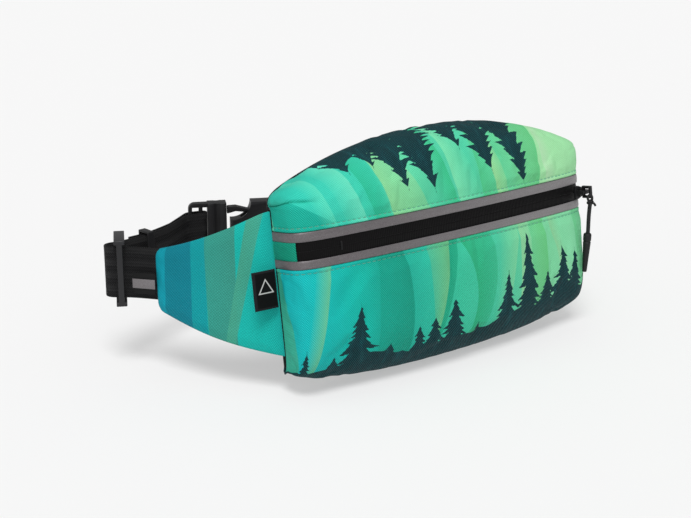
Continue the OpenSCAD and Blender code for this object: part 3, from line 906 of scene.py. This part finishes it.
# ---- pouch
# conifers: distance along the zip, distance from the zip side, height, half width, seed
lower_pines = [(-112, 48, 16, 4, 3), (-77, 27, 36, 15, 11), (-94, 55, 12, 8, 33), (-56, 54, 14, 9, 4),
    (-36, 47, 18, 9, 5), (-9, 36, 24, 12, 9), (-24, 44, 22, 11, 8), (11, 56, 12, 6, 10),
    (35, 29, 30, 11, 12), (52, 6, 52, 11, 14), (70, 34, 18, 9, 13), (85, 20, 30, 10, 15),
    (97, 26, 26, 10, 16), (112, 33, 24, 8, 17), (128, 28, 26, 9, 18)]
upper_pines = [(-73, 30, 34, 19, 22), (-84, 42, 20, 11, 21), (-57, 31, 32, 17, 31), (-38, 16, 44, 21, 23),
    (-18, 12, 48, 21, 24), (6, 33, 28, 15, 25), (27, 17, 44, 22, 27), (41, 34, 30, 16, 35),
    (55, 5, 56, 22, 28)]
lower_at = make_panel("lower_panel", False, lower_pines, print_lower, "lower_front_panel")
upper_at = make_panel("upper_panel", True, upper_pines, print_upper, "upper_front_panel")


def hem_line(cloth_at, v=2.3, inset=2.5):
    def at(t):
        p = cloth_at(inset - GIRTH / 2 + t, v)
        return p, cloth_at(inset - GIRTH / 2 + t, v, 1) - p
    return at, GIRTH - 2 * inset


stitches("zip_stitching", [hem_line(lower_at), hem_line(upper_at)], mint_thread)


def reflective(name, z0, z1, node):
    s = linspace(-GIRTH / 2, GIRTH / 2, 300)
    share = array([0, 0.03, 0.08, 0.16, 0.3, 0.5, 0.7, 0.84, 0.92, 0.97, 1])
    puff = 0.5 - 0.5 * abs(share * 2 - 1) ** 6
    wave = 0.10 * sin(s * 0.35 + 2 * sin(s * 0.05))
    out = puff[:, None] * 0.75 + wave[None] * sin(pi * share)[:, None]
    dress(swept(name, s, z0 + (z1 - z0) * share, out, -0.5), grey_tape, "reflective", node)


reflective("reflective_lower", LOW_Z - 0.1, LOW_Z + LOW_H, "reflective_strip_lower")
reflective("reflective_upper", ZIP_TOP - HIGH_H, ZIP_TOP + 0.1, "reflective_strip_upper")


def tape(side, z0, z1, coil_z):
    s = linspace(-GIRTH / 2 + 1, GIRTH / 2 - 14, 560)
    share = array([0, 0.04, 0.12, 0.3, 0.5, 0.7, 0.85, 0.95, 0.99, 1])
    inner = share if side == "lower" else 1 - share     # 1 at the slit between the tapes
    out = -0.75 + 0.45 * sin(inner * pi * 0.5) - 0.12 * clip((inner - 0.94) / 0.06, 0, 1) ** 2
    ripple = 0.035 * sin(s * 2 * pi / COIL_PITCH)[None] * (inner < 0.97)[:, None]
    dress(swept("tape_" + side, s, z0 + (z1 - z0) * share, out[:, None] + ripple, -1.5), zip_cloth,
        "zip_black", "zip_tape_" + side)
    # the coil is sewn to the inside of the tape, close to the slit
    s = linspace(-GIRTH / 2 + 30, GIRTH / 2 - 14, 700)
    turns = 0.5 + 0.5 * sin(s * 2 * pi / COIL_PITCH)
    deep = -2 - (0.5 + 0.55 * turns[None]) * sin(linspace(0, pi, 7))[:, None]
    dress(swept("coil_" + side, s, coil_z + linspace(0, 2, 7), -1.6, deep), coil, "coil_plastic",
        "zip_coil_" + side)


tape("lower", LOW_Z + LOW_H - 0.6, ZIP_MID - 0.04, ZIP_MID - 2.24)
tape("upper", ZIP_MID + 0.04, ZIP_TOP - HIGH_H + 0.6, ZIP_MID + 0.24)

# fabric tab over the zip's open end, folded from the printed cloth
s = -GIRTH / 2 + linspace(0.2, TAB, 40)
share = linspace(0, 1, 23)
z = LOW_Z + LOW_H + 0.1 + (GAP_H - 0.2) * share
hemmed = smoothstep((TAB - (s + GIRTH / 2)) / 1.2)
out = (0.25 + 0.45 * sqrt(hemmed))[None] * (1 - abs(share * 2 - 1) ** 8)[:, None]
out = out + 0.16 * sin(share * 9)[:, None] * sin(s * 0.5)[None]
tab_print = print_material("tab", stops([(-143, (6, 180, 134)), (-134.6, (6, 180, 134)),
    (-134.2, (4, 128, 104)), (-124, (4, 140, 108))]))
tab = sheet("zip_tab", sweep_plan(s, z, out), sweep_plan(s, z, -0.9), grid_uv(s, z - 70),
    attributes={"pine": full(out.shape, NO_PINE)})
dress(tab, tab_print, "print_fabric", "zip_end_tab")

# back pad: spacer mesh with a bound rim and two sewn channels
def back_pad(inset=1.2):
    quarter = pi / 2 * 0.97
    x = (HALF - inset) * sin(linspace(-1, 1, 180) * quarter) / sin(quarter)
    z = bottom_z(x)[None] + (top_z(x) - bottom_z(x))[None] * linspace(0, 1, 110)[:, None]
    x = broadcast_to(x, z.shape)
    rim = minimum(minimum((HALF - inset - abs(x)), z - bottom_z(x)), top_z(x) - z)
    crown = 2 + 2.6 * (1 - exp(-clip(rim - 5, 0, None) / 7))
    crown = crown * sqrt(clip(rim / 5, 0.02, 1))
    crown -= 0.9 * bell(rim - 6, 1.2)
    for c in (-38, 38):
        crown -= 2.2 * bell(x - c, 2.6) * smoothstep((rim - 8) / 6)
    crown += 0.18 * sin(x * 0.2) * sin(z * 0.17) * smoothstep(rim / 10)
    pad = sheet("back_pad", leaned(xyz(x, EDGE + crown, z)), leaned(xyz(x, EDGE, z)), xyz(x, z), sharp=70)
    dress(pad, spacer, "black_fabric", "back_panel")
    # grosgrain binding round the rim
    t = linspace(-pi / 2, pi / 2, 120)
    bx = (HALF - 5) * sin(t)
    low = xyz(bx, 1.8, bottom_z(bx) + 4)
    high = xyz(bx, 1.8, top_z(bx) - 4.4)[::-1]
    loop = leaned(concatenate([low, high, low[:1]]))
    loop = resampled(loop, linspace(0, run_along(loop)[-1], 420, endpoint=False))
    dress(tube("back_binding", loop, 1.5, "pack", 12, closed=True), black, "black_fabric")


back_pad()

# ---- seams between pouch and wings
for side, name, tint in ((-1, "left", (30, 150, 138)), (1, "right", (96, 180, 140))):
    rows, sides = 90, 16
    z = linspace(END_BOTTOM + 12, END_TOP - 10, rows)
    ang = linspace(0, 2 * pi, sides, endpoint=False)
    fat = (1 + 0.08 * sin(z * 1.3))[:, None]
    ring = xyz(side * (HALF + 0.95 + 0.7 * fat * cos(ang)), 1.7 * fat * sin(ang), z[:, None])
    bead = mesh_object("seam_" + name, leaned(ring.reshape(-1, 3)), capped_faces(rows, sides),
        grid_uv(ang * 2, z).reshape(-1, 2), attributes={"pine": full(rows * sides, NO_PINE)})
    dress(bead, print_material("seam_" + name, [(0, tint)]), "print_fabric", "seam_binding_" + name)

# ---- wings
BELT_Z = 60
WING_END = array([-155.3, 73.3])
WING_L, ROOT_H, TIP_H = 88, 84, 35


def wing_point(u, v, back):
    root = leaned(xyz(-HALF - 3, -1, 24 + v * ROOT_H))
    tip = xyz(WING_END[0] + 3 * (v - 0.5), WING_END[1] + 7 * (v - 0.5), BELT_Z - 1 + (v - 0.5) * TIP_H)
    push = back - 4 * sin(pi * u)
    return root + (tip - root) * u[..., None] + xyz(push * 0.83, push * 0.56, -2.2 * sin(pi * u))


def wing_piece(name, side, front, back, u, across, material, slot, node, tuck=0):
    if side == "right":
        front, back = front * [-1, 1, 1], back * [-1, 1, 1]
    more = {"pine": full(u.shape, NO_PINE), "along": u} if slot == "print_fabric" else None
    obj = sheet(name + side, front, back, xyz(u * WING_L - 5.5 * tuck, across), attributes=more)
    dress(obj, material, slot, node + side)


def wing_sheet(side, material):
    u, v = meshgrid(linspace(0, 1, 96), linspace(0, 1, 74))
    span = ROOT_H * (1 - u) + TIP_H * u                # height of the wing at u
    border = minimum(v, 1 - v) * span
    edge = minimum(border, minimum(u, 1 - u) * WING_L)
    rounded = 1 - sqrt(1 - clip(1 - edge / 1.5, 0, 1) ** 2 * 0.98)
    folds = 0.4 * sin(v * 9 + u * 4) * exp(-u * WING_L / 12) + 0.3 * sin(u * 13 + v * 3)
    folds += 0.45 * bell(u - 0.93, 0.05) * sin(v * 14)
    puff = 0.9 * rounded - smoothstep(edge / 7) - folds * smoothstep(edge / 6)
    # the end's corners are rounded
    corner = clip(1 - border / 4.5, 0, 1)
    bent = u - 4.5 / WING_L * (1 - sqrt(1 - corner ** 2)) * smoothstep((u - 0.8) / 0.2)
    front = wing_point(bent, v, puff)
    back = wing_point(bent, v, 1.25)
    # the root turns forwards to meet the end seam
    tuck = 1 - smoothstep(u / 0.035)
    seam = leaned(xyz(-HALF - 0.3, -4.2, 23.5 + v * (ROOT_H + 1)))
    front += (seam - front) * tuck[..., None]
    back += (seam + [-0.05, 0.9, 0] - back) * tuck[..., None]
    wing_piece("wing_cloth_", side, front, back, u, (v - 0.5) * span, material, "print_fabric", "wing_",
        tuck)


def wing_pad(side):
    u, v = meshgrid(linspace(-0.05, 0.98, 72), linspace(0.05, 0.95, 56))
    span = ROOT_H * (1 - u) + TIP_H * u
    edge = minimum(minimum(v - 0.05, 0.95 - v) * span, minimum(u + 0.05, 0.98 - u) * WING_L)
    crown = 2.1 + 2.6 * smoothstep(edge / 9) - 0.7 * bell(edge - 3.5, 0.9)
    crown = 1.7 + (crown - 1.7) * sqrt(clip(edge, 0, 1))
    wing_piece("wing_mesh_", side, wing_point(u, v, crown), wing_point(u, v, 1.6), u, (v - 0.5) * span,
        spacer, "black_fabric", "wing_pad_")


def wing_material(side, stops, ribbons):
    s = Shade("printed_cloth_wing_" + side, 0.12)
    u, v = s.uv()
    colour = s.ramp(s.add(s.made("Attribute", result="Fac", attribute_name="along"), s.mul(v, 0.0009)),
        bands(stops))
    return finish_cloth(s, ribbons_over(s, colour, u, v, ribbons), u, v)


wing_sheet("left", wing_material("left", [(0, (16, 178, 168)), (0.52, (2, 152, 158)), (0.66, (2, 124, 142)),
    (0.905, (2, 150, 168))], [((24, -0.09, 0), (46, -0.05, 0), (58, 146, 130), 1, 0.85),
    ((16, -0.38, 0), (25, -0.33, 0), (70, 160, 136), 0.9, 1),
    ((-10, 0, 0), (6, -0.05, 0), (8, 150, 144), 0.9, 0)]))
wing_sheet("right", wing_material("right", [(0, (140, 210, 158)), (0.14, (100, 192, 142)),
    (0.32, (126, 204, 152)), (0.5, (84, 182, 138)), (0.68, (116, 198, 146)), (0.85, (64, 170, 130))],
    [((20, -0.3, 0), (34, -0.2, 0), (150, 214, 166), 0.8, 0.1)]))
wing_pad("left")
wing_pad("right")

# ---- belt
WEB_W, WEB_T, WOVEN_EDGE, STRAP_Z = 32, 1.3, 0.22, 61.7
lo, hi = node_box("tri_glide")
GLIDE = array([(lo[0] + hi[0]) / 2, (lo[1] + hi[1]) / 2])
TURN = radians(62)
ALONG = array([cos(TURN), sin(TURN)])
OUT = array([-sin(TURN), cos(TURN)])
SLOT_MID = 5
LAYER = 3.2                      # from the belt's middle to each of its two layers


def glide(p, q):
    return GLIDE + ALONG * p + OUT * q


release = next(j for j in frame["joints"] if j["name"] == "buckle_release")
DIR = -array(release["axis"][:2], float)
pivot = next(j for j in frame["joints"] if j["name"] == "squeeze_upper")["pos_m"]
BUCKLE = (array(pivot) / MM + ORIGIN)[:2] - 26 * DIR


def buckle(u, v):
    return BUCKLE + u * DIR + v * array([-DIR[1], DIR[0]])


start = WING_END + [5.4, -1.6]
into = bezier(start, start + [-3.5, 4], glide(-SLOT_MID - 1, -9), glide(-SLOT_MID, 0), 30)
over = bezier(glide(-SLOT_MID + 0.2, 1), glide(-SLOT_MID + 0.3, 12), glide(SLOT_MID - 0.3, 12),
    glide(SLOT_MID, 0), 30)
web_left = ribbon("strap_left", concatenate([into, over]), BELT_Z + 1.5, "webbing_left")

near = bezier(glide(SLOT_MID + 1.2, -1.6), [-150, 102.1], [-124, 108], buckle(-1, -LAYER), 40)
a = radians(linspace(-90, 90, 13))
turn = stack([buckle(10.7 + 0.7 * cos(k), LAYER * sin(k)) for k in a])
far = bezier(buckle(-1, LAYER), [-122, 114], [-140, 106], [-155, 105.6], 40)
web_adjust = ribbon("strap_adjust", concatenate([near, turn, far]), STRAP_Z, "webbing_adjust",
    rise=[0, 0, 0.4, 2.8, 4, 2.8, 0.4, 0, 0])

turn = bezier([155.5, 74.1], [168, 94], [172, 114], [150, 112], 40)
run = bezier([147, 111.6], [100, 106], [20, 52], buckle(76, -2), 60)
a = radians(-90 - linspace(0, 180, 17))
loop = stack([buckle(64.5 + 2.7 * cos(k), 5.6 * sin(k)) for k in a])
path = concatenate([turn, run, [buckle(70, -5)], loop, [buckle(70, 5), buckle(75, 1.4)]])
ribbon("strap_right", path, STRAP_Z, "webbing_right")

for slot, material, pieces in (("buckle_plastic", nylon, (("strap_keeper", "keeper_loop", 0.5),
        ("buckle_male", "buckle_plug_moulded", 0.8), ("buckle_female", "buckle_shell_moulded", 0.9),
        ("prong_upper", "prong_upper_moulded", 0.6), ("prong_lower", "prong_lower_moulded", 0.6))),
        ("buckle_plastic", glide_nylon, [("tri_glide", "tri_glide_moulded", 1.2, 4)]),
        ("slider_metal", metal, (("slider_body", "slider_cast", 0.35),
        ("pull_ring", "pull_ring_cast", 0.55))), ("webbing", strap_cloth,
        [("reflective_tab", "tab_webbing", 0.22, 2)]), ("reflective", grey_tape,
        [("reflective_stripe", "tab_stripe", 0.08, 2)])):
    for node, name, *rounding in pieces:
        refined(node, name, material, slot, *rounding)


def zip_stop(name, at, proud):
    """A bar pressed across both tapes, centred at a distance along the zip."""
    w, h = linspace(-1, 1, 9), linspace(-1, 1, 17)
    dome = (1 - w ** 6)[None] * (1 - h ** 8)[:, None]
    return swept(name, at + 0.5 * w, ZIP_MID + 2.5 * h, -0.3 + (proud + 0.3) * dome, -0.6)


edge = linspace(-GIRTH / 2, 0, 400)
inner_stop = float(interp(-85, [plan(k)[0] for k in edge], edge))
dress(join("zip_stops_pressed", [zip_stop("inner", inner_stop, 0.1),
    zip_stop("outer", GIRTH / 2 - 14.8, 0.7)]), moulded("dull_black_stops", (3, 3, 3), 0.8, 0.02),
    "slider_metal", "zip_stops")

# ---- pull cord and grip
lo, hi = node_box("pull_cord")
KNOT = array([(lo[0] + hi[0]) / 2, (lo[1] + hi[1]) / 2, hi[2] - 2.1])
t = linspace(0, 2 * pi, 90, endpoint=False)
knot = xyz(sin(t) + 2 * sin(2 * t), -1.17 * sin(3 * t), cos(t) - 2 * cos(2 * t)) * 0.62
knot = tube("cord_knot", knot + KNOT, 0.78, "cord", 10, closed=True)
z = linspace(lo[2] - 0.4, KNOT[2], 60)


def hang(points):
    """The cord and grip lean a little towards the pouch."""
    points = array(points, float)
    low = clip(KNOT[2] - points[:, 2], 0, None)[:, None]
    return points + low * 0.03 * array([-0.8, 0.6, 0])


drop = hang(xyz(KNOT[0] + 0.25 * sin((z - z[-1]) * 0.22), KNOT[1], z))
line = tube("cord_line", drop, 1.3, "cord", 12)
t = linspace(-0.3 * pi, 1.3 * pi, 40)
leg = KNOT + [0, 0, 3.2]
bight = leg + xyz(1.5 * cos(t), 0.9 * sin(t * 0.5), 1.9 * sin(t))
bight = tube("cord_bight", bight, 0.8, "cord", 10)
tail = bezier(KNOT + [1.2, -0.4, -0.4], KNOT + [2.6, -0.6, -0.2], KNOT + [3.4, -0.8, -1.2],
    KNOT + [3.9, -0.9, -2.4], 12)
tail = tube("cord_tail", tail, 0.75, "cord", 10)
cord = join("pull_cord_braided", [knot, line, bight, tail], "cord")
dress(cord, braid, "cord", "pull_cord")

lo, hi = node_box("cord_grip")
centre = (lo + hi) / 2
h = hi[2] - lo[2]
prof = array([(0, 0.05), (0, 0.9), (0.004, 1.25), (0.02, 1.5), (0.4, 2), (0.72, 2.45), (0.77, 2.55),
    (0.785, 2.25), (0.80, 2.2), (0.815, 2.5), (0.83, 2.62), (0.95, 2.62), (0.985, 2.4), (1, 1.9),
    (1, 1.35)])
zz, rr = concatenate([linspace(p, q, 4, endpoint=False) for p, q in zip(prof, prof[1:])] + [prof[-1:]]).T
path = xyz(centre[0], centre[1], lo[2] + h * zz + linspace(0, 1e-3, len(zz)))
grip = tube("grip_moulded", hang(path), rr, "cord", 24)
dress(grip, rubber, "grip_plastic", "cord_grip")

# ---- side label: plain woven, folded
lo, hi = node_box("side_label")
sewn = leaned([-HALF - 2.6, -6.5, 64.8])
LABEL_W, LABEL_H, LABEL_TURN = 15, 22.5, radians(176)
a, b = meshgrid(linspace(0, 1, 24), linspace(-0.5, 0.5, 34))
curl = -0.5 * a ** 2 + 0.12 * sin(b * 7)
thick = 0.42 * sqrt(clip(minimum(minimum(a, 1 - a) * LABEL_W, (0.5 - abs(b)) * LABEL_H) / 0.5, 0.05, 1))


def label_grid(off):
    x, y, z = a * LABEL_W, curl + off, b * LABEL_H
    xr, yr = x * cos(LABEL_TURN) - y * sin(LABEL_TURN), x * sin(LABEL_TURN) + y * cos(LABEL_TURN)
    return leaned(xyz(xr, yr, z)) + sewn


def label_material():
    s = Shade("woven_label", 0.1)
    u, v = s.uv()
    rib = s.range(s.mul(s.wave(u, 0.5), s.wave(v, 0.8)), -1, 1)
    # painted light and shade: the raised ribs are paler, the hollows darker
    colour = s.mix(rib, (3, 3, 4), (11, 11, 12))
    # a plain triangle outline
    x, y = s.add(u, -7), s.add(v, -1)
    side_ = s.add(s.mul(s.math("ABSOLUTE", x), 0.87), s.mul(y, 0.5))
    d = s.math("MAXIMUM", side_, s.mul(y, -1))
    line = s.math("SUBTRACT", s.math("ABSOLUTE", s.math("SUBTRACT", d, 2.6)), 0.32)
    colour = s.mix(s.range(line, -0.1, 0.1, 0.9, 0), colour, (190, 190, 188))
    edge = s.math("MAXIMUM", s.math("ABSOLUTE", s.mul(v, 1 / 10.2)),
        s.math("ABSOLUTE", s.mul(s.add(u, -7), 1 / 6.3)))
    colour = s.mix(s.range(edge, 0.96, 1, 0, 0.35), colour, (44, 44, 48))
    return s.done(colour, 0.6, rib, 0.08)


label = sheet("label_woven", label_grid(-thick), label_grid(thick), xyz(a * LABEL_W, b * LABEL_H))
dress(label, label_material(), "black_fabric", "side_label")

# ---- hidden CAD nodes keep their solids
grey_lining = lining_material("grey_lining", (120, 124, 126))
foam = lining_material("charcoal_foam", (44, 44, 47))
for node, mat in (("lining_lower", grey_lining), ("lining_upper", grey_lining), ("back_foam", foam)):
    o = frame["nodes"][node]
    o.data.materials.clear()
    o.data.materials.append(mat)

# ---- belt pieces that cross a joint
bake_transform(web_left)
tuple(world([*buckle(2, 0), STRAP_Z]))
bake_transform(web_adjust)

# ---- studio
floor_z = world([0, 0, -0.4])[2]
bpy.ops.mesh.primitive_plane_add(size=40, location=(0, 0.6, floor_z))
floor = bpy.context.object
floor.name = "floor"
s = Shade("pale_floor", 0)
s.put("Base Color", (180.6, 180.6, 180.6))
s.put("Roughness", 0.9)
s.put("Emission Color", (255, 255, 255))
s.put("Emission Strength", 0.41)
floor.data.materials.append(s.m)

studio = bpy.data.worlds.new("studio")
bpy.context.scene.world = studio
studio.use_nodes = True
sky = studio.node_tree.nodes["Background"].inputs
sky[0].default_value, sky[1].default_value = (1, 1, 1, 1), 0.42


def aimed(azimuth, elevation):
    """Turn of a light or camera seen in a direction: 0 is the front, 90 the right."""
    a, e = radians(azimuth), radians(elevation)
    return Vector((sin(a) * cos(e), -cos(a) * cos(e), sin(e))).to_track_quat("Z", "Y")


def soft_sun(name, azimuth, elevation, strength, angle, shadow=True):
    light = bpy.data.lights.new(name, "SUN")
    light.energy, light.angle, light.use_shadow = strength, radians(angle), shadow
    linked(name, light, None).rotation_euler = aimed(azimuth, elevation).to_euler()


soft_sun("key", -38, 60, 2.3, 24)
soft_sun("front", -30, 25, 0.62, 60, shadow=False)

scene = bpy.context.scene
scene.view_settings.view_transform = "Standard"
lens = bpy.data.cameras.new("camera")
lens.sensor_width, lens.lens = 36, 75.293
lens.clip_start, lens.clip_end = 0.05, 30
scene.camera = linked("camera", lens, None)
scene.camera.location = world([-552.26, -643.36, 335.55])
scene.camera.rotation_mode = "QUATERNION"
scene.camera.rotation_quaternion = aimed(-36.86, 17.99)
